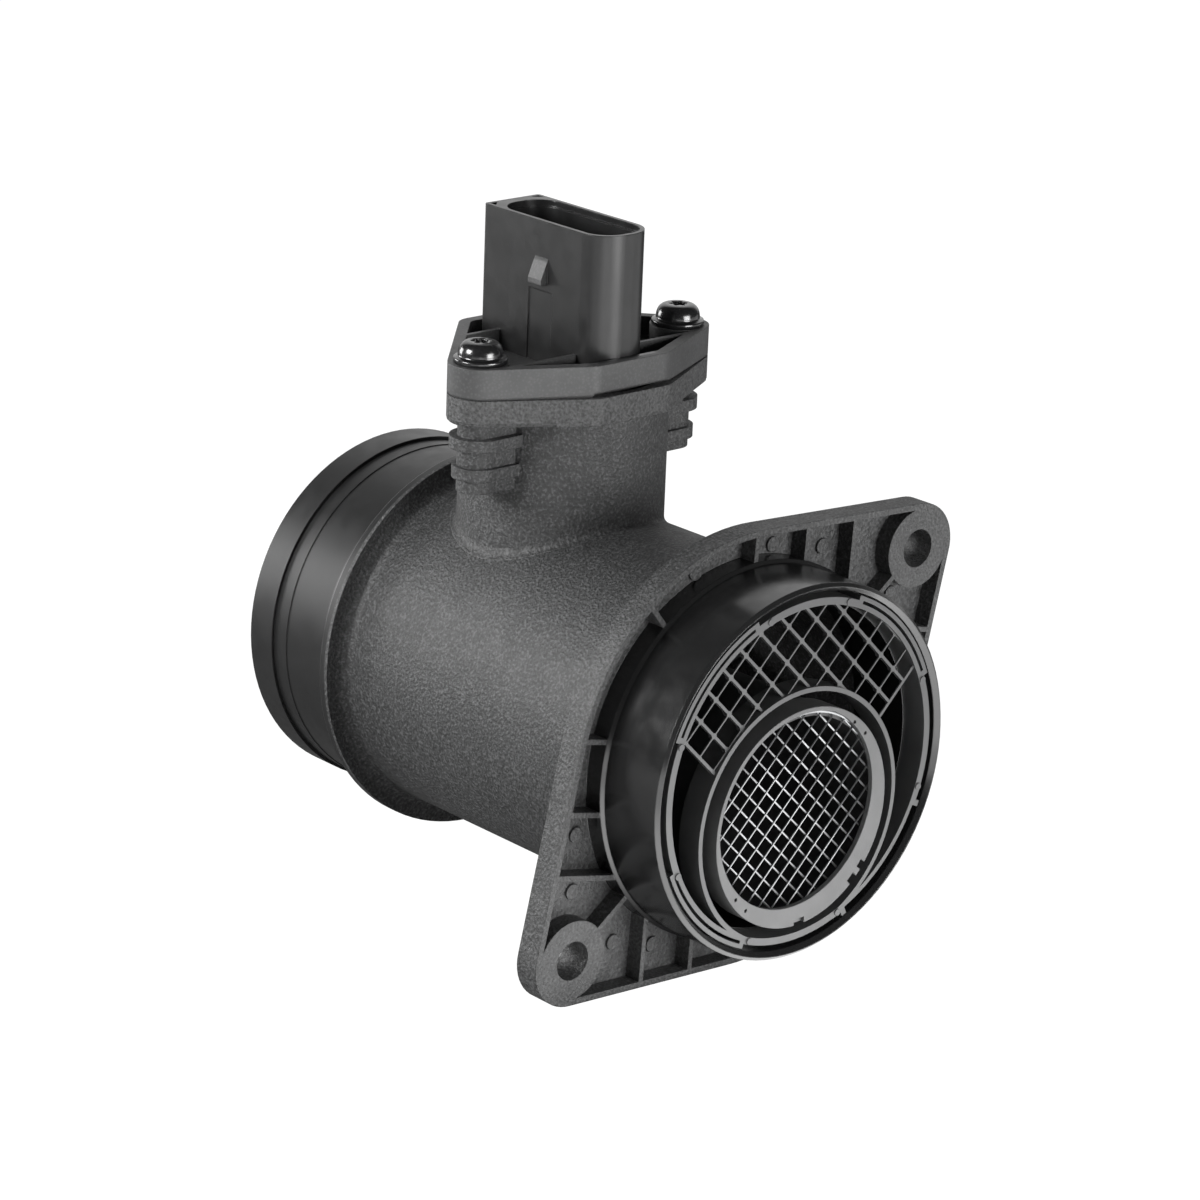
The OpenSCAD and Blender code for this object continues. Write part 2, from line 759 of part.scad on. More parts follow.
module seal_ring() {
    color([0.08, 0.08, 0.08]) at_turret() translate([0, 0, seal_z + seal_w / 2])
        rotate_extrude() translate([seal_groove + seal_t / 2, 0]) circle(d = seal_t - 0.04, $fn = 32);
}

terminal_tip = 0.5;
terminal_low = neck_z - 6;

module terminal(i) {
    color([0.78, 0.72, 0.58]) at_turret() translate([terminal_x0 + i * terminal_pitch, 0, 0])
        rotate([90, 0, 0]) translate([0, 0, -terminal_t / 2]) linear_extrude(terminal_t)
            polygon([[-terminal_w / 2, terminal_low], [terminal_w / 2, terminal_low],
                     [terminal_w / 2, socket_z + terminal_h - 1], [terminal_tip / 2, socket_z + terminal_h],
                     [-terminal_tip / 2, socket_z + terminal_h], [-terminal_w / 2, socket_z + terminal_h - 1]]);
}

module terminal_1() { terminal(0); }
module terminal_2() { terminal(1); }
module terminal_3() { terminal(2); }
module terminal_4() { terminal(3); }
module terminal_5() { terminal(4); }

// Sensor finger: a blade that hangs from the neck into the inner flow tube
collar_t = 3;
finger_top = neck_z - collar_t;
finger_z = -flow_drop - finger_low;
pocket_w = 21;
pocket_z = 12;
pocket_y = terminal_t / 2 + board_t + base_t;
cover_w = 24;
cover_y = -finger_t / 2;
channel_y = 1.5;
channel_h = 7;
channel_z = -flow_drop - channel_h / 2;
upper_z = 2;
upper_h = 5;
riser_x = -9.5;
riser_w = 6;
upper_l = 17;
outlet_w = 4.5;
element_w = 3;
element_x = -3;
split_z = 10;
notch_x = 1.9;
probe_z = 15;
probe_l = 10;

module blade_section() {
    translate([-finger_w / 2 + 3, -finger_t / 2]) square([finger_w - 3 - finger_t / 2, finger_t]);
    translate([finger_w / 2 - finger_t / 2, 0]) circle(d = finger_t);
    for (s = [-1, 1]) translate([3 - finger_w / 2, s * (finger_t / 2 - 3)]) circle(r = 3);
    translate([-finger_w / 2, 3 - finger_t / 2]) square([4, finger_t - 6]);
}

// Air path: in at the leading edge, back, up and out through the side
module bypass_channel() {
    translate([0, cover_y, 0]) {
        translate([riser_x, 0, channel_z]) cube([finger_w, channel_y - cover_y, channel_h]);
        translate([riser_x, 0, channel_z]) cube([riser_w, channel_y - cover_y, upper_z + upper_h - channel_z]);
        translate([riser_x, 0, upper_z]) cube([upper_l, channel_y - cover_y, upper_h]);
    }
    translate([riser_x + upper_l - outlet_w, 0, upper_z]) cube([outlet_w, finger_t, upper_h]);
}

module sensor_body() {
    color([0.22, 0.22, 0.23]) at_turret() difference() {
        union() {
            translate([0, 0, finger_top]) cylinder(r = neck_r - 0.4, h = collar_t);
            translate([0, 0, finger_z]) linear_extrude(finger_top - finger_z + eps) blade_section();
        }
        // recess for both covers
        translate([-cover_w / 2 - slip, cover_y - eps, finger_z + 2 - slip])
            cube([cover_w + 2 * slip, cover_t + eps, finger_top - finger_z - 2 + slip]);
        translate([-pocket_w / 2, cover_y, pocket_z])
            cube([pocket_w, pocket_y - cover_y, finger_top - pocket_z]);
        translate([-pocket_w / 2, -terminal_t, finger_top - eps])
            cube([pocket_w, terminal_t + pocket_y, collar_t + 2 * eps]);
        bypass_channel();
        translate([element_x - slip, terminal_t / 2 - slip, upper_z + eps])
            cube([element_w + 2 * slip, board_t + 2 * slip, pocket_z - upper_z]);
        translate([-finger_w / 2 - eps, -notch_x, probe_z]) cube([notch_x + eps, 2 * notch_x, probe_l]);
    }
}

module base_plate() {
    color([0.75, 0.76, 0.78]) at_turret()
        translate([slip - pocket_w / 2, pocket_y - base_t, pocket_z + slip])
            cube([pocket_w - 2 * slip, base_t, neck_z - 1 - pocket_z]);
}

module hybrid_board() {
    color([0.88, 0.88, 0.84]) at_turret()
        translate([1 - pocket_w / 2, terminal_t / 2, pocket_z + 1])
            cube([pocket_w - 2, board_t, neck_z - 3 - pocket_z]);
}

module sensing_element() {
    color([0.35, 0.38, 0.46]) at_turret()
        translate([element_x, terminal_t / 2, upper_z + 1])
            cube([element_w, board_t * 0.6, pocket_z - upper_z]);
}

module channel_cover() {
    color([0.24, 0.24, 0.25]) at_turret()
        translate([-cover_w / 2, cover_y, finger_z + 2])
            cube([cover_w, cover_t, split_z - finger_z - 2]);
}

module electronics_cover() {
    color([0.24, 0.24, 0.25]) at_turret()
        translate([-cover_w / 2, cover_y, split_z + slip])
            cube([cover_w, cover_t, finger_top - split_z - 2 * slip]);
}

bead_r = 0.85;
lead_r = 0.25;

module air_temperature_probe() {
    color([0.15, 0.30, 0.20]) at_turret() translate([bead_r + slip - finger_w / 2, 0, probe_z]) {
        translate([0, 0, probe_l / 2]) sphere(r = bead_r, $fn = 32);
        for (s = [-1, 1]) translate([0, s * 0.5, 0]) cylinder(r = lead_r, h = probe_l, $fn = 24);
    }
}

torx_r = 1.2;
lobe_r = 0.42;
dome_h = 2.9;
washer_t = 1;
drive_l = 1.8;

module drive_recess() {
    circle(r = torx_r);
    for (k = [0:5]) rotate(60 * k) translate([torx_r, 0]) circle(r = lobe_r);
}

module head_screw() {
    difference() {
        union() {
            cylinder(d = washer_d, h = washer_t);
            rotate_extrude() intersection() {
                translate([0, washer_t + dome_h - dome_d * 0.62]) circle(r = dome_d * 0.62);
                translate([0, washer_t]) square([dome_d / 2, dome_h - 0.3]);
            }
            translate([0, 0, -shank_l]) cylinder(d = shank_d, h = shank_l + eps);
        }
        translate([0, 0, washer_t + dome_h - drive_l]) linear_extrude(drive_l) drive_recess();
    }
}

module head_screws() {
    color([0.10, 0.10, 0.11]) at_turret() for (s = [-1, 1])
        translate([screw_dx, s * screw_y, rim_z]) head_screw();
}

housing();
grid_insert();
flow_tube();
fine_screen();
screen_frame();
connector_head();
seal_ring();
terminal_1();
terminal_2();
terminal_3();
terminal_4();
terminal_5();
sensor_body();
base_plate();
hybrid_board();
sensing_element();
channel_cover();
electronics_cover();
air_temperature_probe();
head_screws();
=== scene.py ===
"""A hot-film mass airflow sensor in a plain pale studio.

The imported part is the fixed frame. This script gives every piece its moulded, drawn or coated
finish, replaces the flat stand-in of the fine screen by laid round wires and the two plain screws
by domed ones, and rounds the root of the turret.
"""
import logging
import math
from dataclasses import dataclass, field
from enum import Enum
from typing import Any, Callable, Dict, List, Sequence, Tuple

import bpy
import numpy as np
from mathutils import Matrix, Vector


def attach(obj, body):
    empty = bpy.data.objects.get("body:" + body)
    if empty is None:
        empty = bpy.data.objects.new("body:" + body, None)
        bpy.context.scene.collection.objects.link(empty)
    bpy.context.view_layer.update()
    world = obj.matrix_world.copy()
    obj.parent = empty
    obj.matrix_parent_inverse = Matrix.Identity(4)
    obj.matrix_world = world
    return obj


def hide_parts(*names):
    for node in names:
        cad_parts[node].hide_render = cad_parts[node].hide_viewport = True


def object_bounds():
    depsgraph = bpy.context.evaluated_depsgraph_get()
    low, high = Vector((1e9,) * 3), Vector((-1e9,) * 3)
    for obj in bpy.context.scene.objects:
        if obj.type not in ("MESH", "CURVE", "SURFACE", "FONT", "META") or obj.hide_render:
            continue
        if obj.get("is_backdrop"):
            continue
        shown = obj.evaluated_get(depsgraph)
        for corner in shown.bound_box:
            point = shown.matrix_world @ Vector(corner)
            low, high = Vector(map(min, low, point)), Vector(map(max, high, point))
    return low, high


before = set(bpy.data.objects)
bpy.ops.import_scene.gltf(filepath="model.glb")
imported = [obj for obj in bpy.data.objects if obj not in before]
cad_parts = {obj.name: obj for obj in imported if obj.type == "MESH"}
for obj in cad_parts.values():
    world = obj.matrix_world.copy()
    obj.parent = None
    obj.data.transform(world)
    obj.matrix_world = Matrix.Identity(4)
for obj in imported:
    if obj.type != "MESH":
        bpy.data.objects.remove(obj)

LOG = logging.getLogger("airflow_sensor")
MM = 0.001
SHEEN = 0.85
Colour = Tuple[float, float, float]
Grid = Tuple[np.ndarray, bool, bool]


class Grain(Enum):
    """How the skin of a moulding is textured."""

    SPARK = "spark-eroded"
    SATIN = "satin"


def scaled(colour: Colour, factor: float) -> Colour:
    """The colour with each channel multiplied by a factor."""
    return colour[0] * factor, colour[1] * factor, colour[2] * factor


class NodeTree:
    """A short way to write one material's node tree."""

    def __init__(self, name: str) -> None:
        """Start an empty material.

        Args:
            name: The material's name.
        """
        self.material = bpy.data.materials.new(name)
        self.material.use_nodes = True
        self.tree = self.material.node_tree
        self.tree.nodes.clear()
        self.output = self.add("ShaderNodeOutputMaterial")
        self.object = self.add("ShaderNodeTexCoord").outputs["Object"]

    def add(self, kind: str, **values: Any) -> bpy.types.Node:
        """Add a node and set its plain attributes.

        Args:
            kind: The node's type name.
            **values: Attributes to set.

        Returns:
            The new node.
        """
        node = self.tree.nodes.new(kind)
        for key, value in values.items():
            setattr(node, key, value)
        return node

    def put(self, socket: Any, value: Any) -> None:
        """Link an output to a socket, or set the socket's own value.

        Args:
            socket: The socket.
            value: An output to link, or a plain value.
        """
        if isinstance(value, bpy.types.NodeSocket):
            self.tree.links.new(value, socket)
        else:
            socket.default_value = value

    def math(self, operation: str, *values: Any) -> Any:
        """Add a Math node.

        Args:
            operation: The node's operation.
            *values: One to three numbers or outputs.

        Returns:
            The node's output.
        """
        node = self.add("ShaderNodeMath", operation=operation)
        for socket, value in zip(node.inputs, values):
            self.put(socket, value)
        return node.outputs[0]

    def times(self, first: Any, second: Any) -> Any:
        """The product of two values."""
        return self.math("MULTIPLY", first, second)

    def length(self, first: Any, second: Any) -> Any:
        """The length of the line whose two components are given."""
        return self.math("SQRT", self.math("ADD", self.times(first, first), self.times(second, second)))

    def noise(self, size: float, detail: float = 2.0, vector: Any = None) -> Any:
        """Add smooth noise.

        Args:
            size: How many metres its features are across, roughly.
            detail: How many finer layers it has.
            vector: The place it is read at, if not the object coordinates.

        Returns:
            A number from 0 to 1.
        """
        node = self.add("ShaderNodeTexNoise")
        self.put(node.inputs["Vector"], vector or self.object)
        node.inputs["Scale"].default_value = 1.0 / size
        node.inputs["Detail"].default_value = detail
        return node.outputs["Fac"]

    def cells(self, size: float) -> Any:
        """Scatter points through space.

        Args:
            size: How many metres lie between two points, roughly.

        Returns:
            The distance to the nearest point, as a share of the size.
        """
        node = self.add("ShaderNodeTexVoronoi")
        self.put(node.inputs["Vector"], self.object)
        node.inputs["Scale"].default_value = 1.0 / size
        return node.outputs["Distance"]

    def ramp(self, value: Any, low: float, high: float, start: float = 0.0, end: float = 1.0) -> Any:
        """Map a value smoothly from one range to another, and hold it at the ends.

        Args:
            value: The linked value.
            low: Where the ramp begins.
            high: Where it ends.
            start: The result at low and under it.
            end: The result at high and over it.

        Returns:
            The mapped value.
        """
        node = self.add("ShaderNodeMapRange", interpolation_type="SMOOTHSTEP")
        for key, number in (("From Min", low), ("From Max", high), ("To Min", start), ("To Max", end)):
            node.inputs[key].default_value = number
        self.put(node.inputs["Value"], value)
        return node.outputs["Result"]

    def under(self, value: Any, limit: float) -> Any:
        """1 where a length is under a limit and 0 over it, with a soft step 0.2 mm wide."""
        return self.ramp(value, limit - 0.1 * MM, limit + 0.1 * MM, 1.0, 0.0)

    def blend(self, factor: Any, first: Any, second: Any) -> Any:
        """Mix two colours.

        Args:
            factor: How much of the second, from 0 to 1.
            first: A colour, fixed or linked.
            second: Another one.

        Returns:
            The mixed colour.
        """
        node = self.add("ShaderNodeMix", data_type="RGBA")
        self.put(node.inputs["Factor"], factor)
        self.put(node.inputs["A"], (*first, 1.0) if isinstance(first, tuple) else first)
        self.put(node.inputs["B"], (*second, 1.0) if isinstance(second, tuple) else second)
        return node.outputs["Result"]

    def tints(self, factor: Any, colour: Colour, dark: float, light: float) -> Any:
        """Mix two tints of one colour, made with two factors, by how much of the second there is."""
        return self.blend(factor, scaled(colour, dark), scaled(colour, light))

    def axes(self) -> Any:
        """Part the object coordinates.

        Returns:
            X, Y and Z as three outputs.
        """
        node = self.add("ShaderNodeSeparateXYZ")
        self.put(node.inputs[0], self.object)
        return node.outputs

    def bump(self, height: Any, metres: float, strength: Any, under: Any = None) -> Any:
        """Turn a height from 0 to 1 into a normal.

        Args:
            height: The linked height.
            metres: What a height of 1 stands for.
            strength: How much of the bump shows, fixed or linked.
            under: The normal that it starts from, if not the surface's own.

        Returns:
            The new normal.
        """
        node = self.add("ShaderNodeBump")
        self.put(node.inputs["Height"], height)
        node.inputs["Distance"].default_value = metres
        self.put(node.inputs["Strength"], strength)
        if under is not None:
            self.put(node.inputs["Normal"], under)
        return node.outputs["Normal"]

    def soft_edge(self, radius: float) -> Any:
        """Round every sharp edge in the shading.

        Args:
            radius: How far the rounding reaches, in metres.

        Returns:
            A normal for the bumps to start from.
        """
        node = self.add("ShaderNodeBevel", samples=4)
        node.inputs["Radius"].default_value = radius
        return node.outputs["Normal"]

    def surface(self, colour: Any, roughness: Any, normal: Any = None, **others: Any) -> bpy.types.Material:
        """Close the tree with one Principled shader.

        Args:
            colour: Base colour, fixed or linked.
            roughness: Roughness, fixed or linked.
            normal: A linked normal, if any.
            **others: Other sockets by name, with _ for a space, fixed or linked.

        Returns:
            The finished material.
        """
        shader = self.add("ShaderNodeBsdfPrincipled")
        self.put(shader.inputs["Base Color"], (*colour, 1.0) if isinstance(colour, tuple) else colour)
        self.put(shader.inputs["Roughness"], roughness)
        if normal is not None:
            self.put(shader.inputs["Normal"], normal)
        for key, value in others.items():
            self.put(shader.inputs[key.replace("_", " ")], value)
        self.put(self.output.inputs["Surface"], shader.outputs["BSDF"])
        return self.material


@dataclass(frozen=True)
class MouldedPlastic:
    """Glass-filled plastic with flow marks and a skin that is eroded or satin."""

    name: str
    colour: Colour
    roughness: float
    grain: Grain
    spread: float = 0.12
    edge: float = 0.25 * MM

    def material(self) -> bpy.types.Material:
        """Build the node tree: cloudy colour, uneven gloss and a bump of the mould's skin.

        Returns:
            The finished material.
        """
        t = NodeTree(self.name)
        cloud = t.ramp(t.noise(9 * MM, 3.0), 0.3, 0.7)
        colour = t.tints(cloud, self.colour, 1 - self.spread, 1 + self.spread)
        uneven = t.noise(3 * MM, 3.0)
        roughness = t.ramp(uneven, 0.25, 0.75, self.roughness - 0.04, self.roughness + 0.05)
        fine = t.noise(0.35 * MM)
        rounded = t.soft_edge(self.edge)
        if self.grain is Grain.SPARK:
            coarse = t.bump(t.noise(1.1 * MM), 0.05 * MM, 0.25, rounded)
            normal = t.bump(fine, 0.05 * MM, 0.5, coarse)
        else:
            normal = t.bump(fine, 0.015 * MM, 0.3, rounded)
        return t.surface(colour, roughness, normal, Specular_IOR_Level=SHEEN)


@dataclass(frozen=True)
class HeadPlastic:
    """The connector head's moulding: a satin plate below a darker and glossier shell."""

    name: str = "head_plastic_finish"
    plate: Colour = (0.044, 0.0445, 0.045)
    shell: Colour = (0.013, 0.0131, 0.0133)
    shell_x: float = -53.8 * MM
    shell_half_l: float = 17.0 * MM
    shell_half_w: float = 6.9 * MM
    shell_z: float = 60.5 * MM
    edge: float = 0.3 * MM

    def material(self) -> bpy.types.Material:
        """Build the node tree: a box round the shell parts it from the plate.

        Returns:
            The finished material.
        """
        t = NodeTree(self.name)
        x, y, z = t.axes()[0], t.axes()[1], t.axes()[2]
        along = t.under(t.math("ABSOLUTE", t.math("SUBTRACT", x, self.shell_x)), self.shell_half_l)
        across = t.under(t.math("ABSOLUTE", y), self.shell_half_w)
        high = t.ramp(z, self.shell_z - 0.1 * MM, self.shell_z + 0.1 * MM)
        is_shell = t.times(high, t.times(along, across))
        cloud = t.ramp(t.noise(7 * MM, 3.0), 0.3, 0.7)
        glint_specks = t.ramp(t.cells(0.6 * MM), 0.1, 0.6, 1.0, 0.0)
        plate = t.tints(cloud, self.plate, 0.88, 1.12)
        # Lighter flecks on the plate are painted glints.
        plate = t.blend(t.times(glint_specks, 0.4), plate, scaled(self.plate, 2.2))
        shell = t.tints(cloud, self.shell, 0.85, 1.2)
        wave = t.ramp(t.noise(3 * MM, 3.0), 0.25, 0.75, -0.03, 0.04)
        roughness = t.math("ADD", t.math("SUBTRACT", 0.52, t.times(is_shell, 0.2)), wave)
        eroded = t.math("SUBTRACT", 0.8, t.times(is_shell, 0.65))
        normal = t.bump(t.noise(0.4 * MM), 0.03 * MM, eroded, t.soft_edge(self.edge))
        gloss = t.math("SUBTRACT", SHEEN, t.times(is_shell, 0.15))
        colour = t.blend(is_shell, plate, shell)
        return t.surface(colour, roughness, normal, Specular_IOR_Level=gloss)


@dataclass(frozen=True)
class HousingPlastic:
    """The duct's one moulding: eroded tube, turret and flange, satin hose end, glossy collar."""

    name: str = "housing_plastic_finish"
    tube: Colour = (0.03, 0.0305, 0.031)
    hose_end: Colour = (0.013, 0.0131, 0.0133)
    # The turret's darker tint of the tube's plastic is painted shade.
    turret: Colour = (0.024, 0.0245, 0.025)
    collar: Colour = (0.015, 0.0151, 0.0153)
    # The flange's and the turret plate's lighter tints of the same plastic are painted light.
    flange: Colour = (0.042, 0.0425, 0.043)
    plate: Colour = (0.05, 0.0505, 0.051)
    # Painted shade: the bore and the grain's pits take this dark colour.
    inside: Colour = (0.01, 0.01, 0.01)
    shoulder_x: float = -77.0 * MM
    flange_x: float = -4.0 * MM
    bore_r: float = 31.3 * MM
    collar_r: float = 36.1 * MM
    turret_z: float = 35.0 * MM
    plate_z: float = 54.2 * MM
    edge: float = 0.3 * MM

    def material(self) -> bpy.types.Material:
        """Build the node tree.

        The zones follow the place on the part. The distance along the duct parts hose end, tube,
        flange and collar. The distance from the duct axis parts the collar from the flange and the
        outside from the bore, which is painted dark as shade. The height parts tube, turret and
        turret plate. On this one plastic the turret's darker tint is painted shade, and the flange's
        and the turret plate's lighter tints are painted light. The grain's pits are painted shade,
        its peaks and lighter flecks painted highlights and glints.

        Returns:
            The finished material.
        """
        t = NodeTree(self.name)
        x, y, z = t.axes()[0], t.axes()[1], t.axes()[2]
        radius = t.length(y, z)
        is_end = t.ramp(x, self.shoulder_x - 0.4 * MM, self.shoulder_x, 1.0, 0.0)
        is_round = t.ramp(radius, self.collar_r, self.collar_r + 0.15 * MM, 1.0, 0.0)
        turret_shade_zone = t.ramp(z, self.turret_z - 1.0 * MM, self.turret_z)
        plate_light_zone = t.ramp(z, self.plate_z - 0.2 * MM, self.plate_z)
        ahead = t.ramp(x, self.flange_x - 0.4 * MM, self.flange_x)
        is_collar = t.times(ahead, is_round)
        flange_light_zone = t.times(ahead, t.math("SUBTRACT", 1.0, is_round))
        bore_shade = t.under(radius, self.bore_r)
        eroded = t.math("SUBTRACT", 1.0, t.math("MAXIMUM", is_collar, is_end))

        cloud = t.ramp(t.noise(10 * MM, 4.0), 0.3, 0.7)
        glint_specks = t.ramp(t.cells(0.55 * MM), 0.1, 0.6, 1.0, 0.0)
        colour = t.tints(cloud, self.tube, 0.86, 1.1)
        # Painted shade on the turret and painted light on the turret plate.
        colour = t.blend(turret_shade_zone, colour, self.turret)
        colour = t.blend(plate_light_zone, colour, self.plate)
        # Lighter flecks are painted glints of the grain.
        colour = t.blend(t.times(glint_specks, 0.5), colour, scaled(self.tube, 2.0))
        colour = t.blend(is_end, colour, t.tints(cloud, self.hose_end, 0.85, 1.15))
        # Painted light on the flange, under its random cloud.
        colour = t.blend(flange_light_zone, colour, t.tints(cloud, self.flange, 0.8, 1.15))
        colour = t.blend(is_collar, colour, self.collar)
        # Painted shade in the bore.
        colour = t.blend(bore_shade, colour, self.inside)

        grain = t.noise(0.55 * MM)
        # Besides the bump, the grain's pits are painted dark as shade and its peaks light as highlights.
        pit_shade = t.times(eroded, t.ramp(grain, 0.36, 0.5, 1.0, 0.0))
        peak_highlight = t.times(eroded, t.ramp(grain, 0.53, 0.66))
        colour = t.blend(t.times(pit_shade, 0.85), colour, self.inside)
        colour = t.blend(t.times(peak_highlight, 0.75), colour, scaled(self.tube, 3.2))
        normal = t.bump(grain, 0.25 * MM, t.times(eroded, 0.9), t.soft_edge(self.edge))
        normal = t.bump(t.noise(1.2 * MM), 0.07 * MM, t.times(eroded, 0.4), normal)

        wave = t.ramp(t.noise(4 * MM), 0.3, 0.7, -0.03, 0.04)
        base = t.math("ADD", t.times(eroded, 0.22), 0.4)
        base = t.math("SUBTRACT", base, t.times(is_collar, 0.2))
        gloss = t.math("SUBTRACT", SHEEN, t.times(is_end, 0.3))
        return t.surface(colour, t.math("ADD", base, wave), normal, Specular_IOR_Level=gloss)


@dataclass(frozen=True)
class DrawnMetal:
    """Drawn or rolled metal with faint lines along one axis."""

    name: str
    colour: Colour
    roughness: float
    stretch: Tuple[float, float, float] = (1.0, 1.0, 0.05)

    def material(self) -> bpy.types.Material:
        """Build the node tree: noise squeezed along the drawing direction, in gloss and bump.

        Returns:
            The finished material.
        """
        t = NodeTree(self.name)
        mapping = t.add("ShaderNodeMapping")
        t.put(mapping.inputs["Vector"], t.object)
        mapping.inputs["Scale"].default_value = self.stretch
        lines = t.noise(0.15 * MM, 3.0, mapping.outputs["Vector"])
        tint = t.ramp(t.noise(2.5 * MM), 0.3, 0.7)
        colour = t.tints(tint, self.colour, 0.86, 1.0)
        roughness = t.ramp(lines, 0.3, 0.7, self.roughness - 0.06, self.roughness + 0.08)
        return t.surface(colour, roughness, t.bump(lines, 0.01 * MM, 0.5), Metallic=1.0)


@dataclass(frozen=True)
class BlackedSteel:
    """Steel with a glossy black coat."""

    name: str = "screw_steel_finish"
    colour: Colour = (0.01, 0.01, 0.0105)
    roughness: float = 0.2

    def material(self) -> bpy.types.Material:
        """Build the node tree: a faintly mottled coat with a fine orange-peel bump.

        Returns:
            The finished material.
        """
        t = NodeTree(self.name)
        mottle = t.ramp(t.noise(0.8 * MM, 3.0), 0.35, 0.7)
        colour = t.tints(mottle, self.colour, 1.0, 1.3)
        peel = t.noise(0.5 * MM)
        roughness = t.ramp(peel, 0.3, 0.7, self.roughness - 0.03, self.roughness + 0.04)
        return t.surface(colour, roughness, t.bump(peel, 0.004 * MM, 0.4), Specular_IOR_Level=1.0)


@dataclass(frozen=True)
class Rubber:
    """Black seal rubber with bloom."""

    name: str = "seal_rubber_finish"

    def material(self) -> bpy.types.Material:
        """Build the node tree: nearly black, with a pale bloom in patches.

        Returns:
            The finished material.
        """
        t = NodeTree(self.name)
        bloom = t.ramp(t.noise(2 * MM, 4.0), 0.4, 0.8)
        colour = t.blend(bloom, (0.012, 0.012, 0.012), (0.03, 0.03, 0.032))
        roughness = t.ramp(bloom, 0.0, 1.0, 0.55, 0.75)
        return t.surface(colour, roughness, t.bump(t.noise(0.2 * MM), 0.01 * MM, 0.4))


@dataclass(frozen=True)
class Ceramic:
    """White alumina with the faint speckle of its grains."""

    name: str = "board_ceramic_finish"

    def material(self) -> bpy.types.Material:
        """Build the node tree: off-white with warm grains and a fine bump.

        Returns:
            The finished material.
        """
        t = NodeTree(self.name)
        grain = t.ramp(t.cells(0.3 * MM), 0.1, 0.7)
        colour = t.blend(grain, (0.7, 0.68, 0.62), (0.82, 0.81, 0.77))
        roughness = t.ramp(t.noise(1 * MM), 0.3, 0.7, 0.4, 0.55)
        return t.surface(colour, roughness, t.bump(grain, 0.005 * MM, 0.5))


@dataclass(frozen=True)
class CoatedGlass:
    """Glass with a thin dark coat in stripes, as on a hot film or a sealed bead."""

    name: str
    colour: Colour
    stripe: float

    def material(self) -> bpy.types.Material:
        """Build the node tree: a striped coat across Z under clear gloss.

        Returns:
            The finished material.
        """
        t = NodeTree(self.name)
        wave = t.add("ShaderNodeTexWave", bands_direction="Z")
        t.put(wave.inputs["Vector"], t.object)
        wave.inputs["Scale"].default_value = 1.0 / self.stripe
        wave.inputs["Distortion"].default_value = 0.6
        colour = t.tints(t.ramp(wave.outputs["Fac"], 0.4, 0.6), self.colour, 1.0, 1.8)
        roughness = t.ramp(t.noise(0.5 * MM), 0.3, 0.7, 0.12, 0.2)
        return t.surface(colour, roughness, Coat_Weight=0.5)


def grid_mesh(name: str, grids: Sequence[Grid], tips: Sequence[int] = ()) -> bpy.types.Mesh:
    """One mesh of quads over several grids of points.

    Quad (i, j) joins the points (i, j), (i+1, j), (i+1, j+1) and (i, j+1), counted round where the
    grid closes on itself.

    Args:
        name: The mesh's name.
        grids: Arrays of shape (u, v, 3), each with two flags. They say whether the last row joins
            the first, and whether the last column joins the first.
        tips: Numbers of the grids whose first and last rows are capped with one face each.

    Returns:
        The new mesh, with smooth faces.
    """
    verts: List[np.ndarray] = []
    quads: List[np.ndarray] = []
    caps: List[List[int]] = []
    start = 0
    for number, (points, wrap_u, wrap_v) in enumerate(grids):
        nu, nv = points.shape[:2]
        i = np.arange(nu if wrap_u else nu - 1)[:, None]
        j = np.arange(nv if wrap_v else nv - 1)[None, :]
        i1 = (i + 1) % nu
        j1 = (j + 1) % nv
        cell = np.stack([i * nv + j, i1 * nv + j, i1 * nv + j1, i * nv + j1], axis=-1)
        quads.append(cell.reshape(-1, 4) + start)
        verts.append(points.reshape(-1, 3))
        if number in tips:
            last = start + (nu - 1) * nv
            caps.append(list(range(start, start + nv)))
            caps.append(list(range(last, last + nv))[::-1])
        start += nu * nv
    faces = np.concatenate(quads).tolist() + caps
    mesh = bpy.data.meshes.new(name)
    mesh.from_pydata(np.concatenate(verts).tolist(), [], faces)
    mesh.polygons.foreach_set("use_smooth", np.ones(len(faces), dtype=bool))
    mesh.update()
    return mesh


def place(name: str, mesh: bpy.types.Mesh, material: bpy.types.Material) -> bpy.types.Object:
    """Link a mesh as a piece of the part at the origin, on the one body.

    Args:
        name: The piece's name.
        mesh: Its mesh, in metres and already in place.
        material: Its finish.

    Returns:
        The new object.
    """
    piece = bpy.data.objects.new(name, mesh)
    bpy.context.scene.collection.objects.link(piece)
    mesh.materials.append(material)
    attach(piece, "root")
    LOG.info("piece %s: %d faces", name, len(mesh.polygons))
    return piece


def dress(node: str, material: bpy.types.Material) -> None:
    """Give a carried-over node its finish in all its material slots.

    Args:
        node: The node's name.
        material: Its finish.
    """
    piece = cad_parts[node]
    if not piece.material_slots:
        piece.data.materials.append(material)
    for holder in piece.material_slots:
        holder.material = material
    LOG.info("node %s: %s", node, material.name)


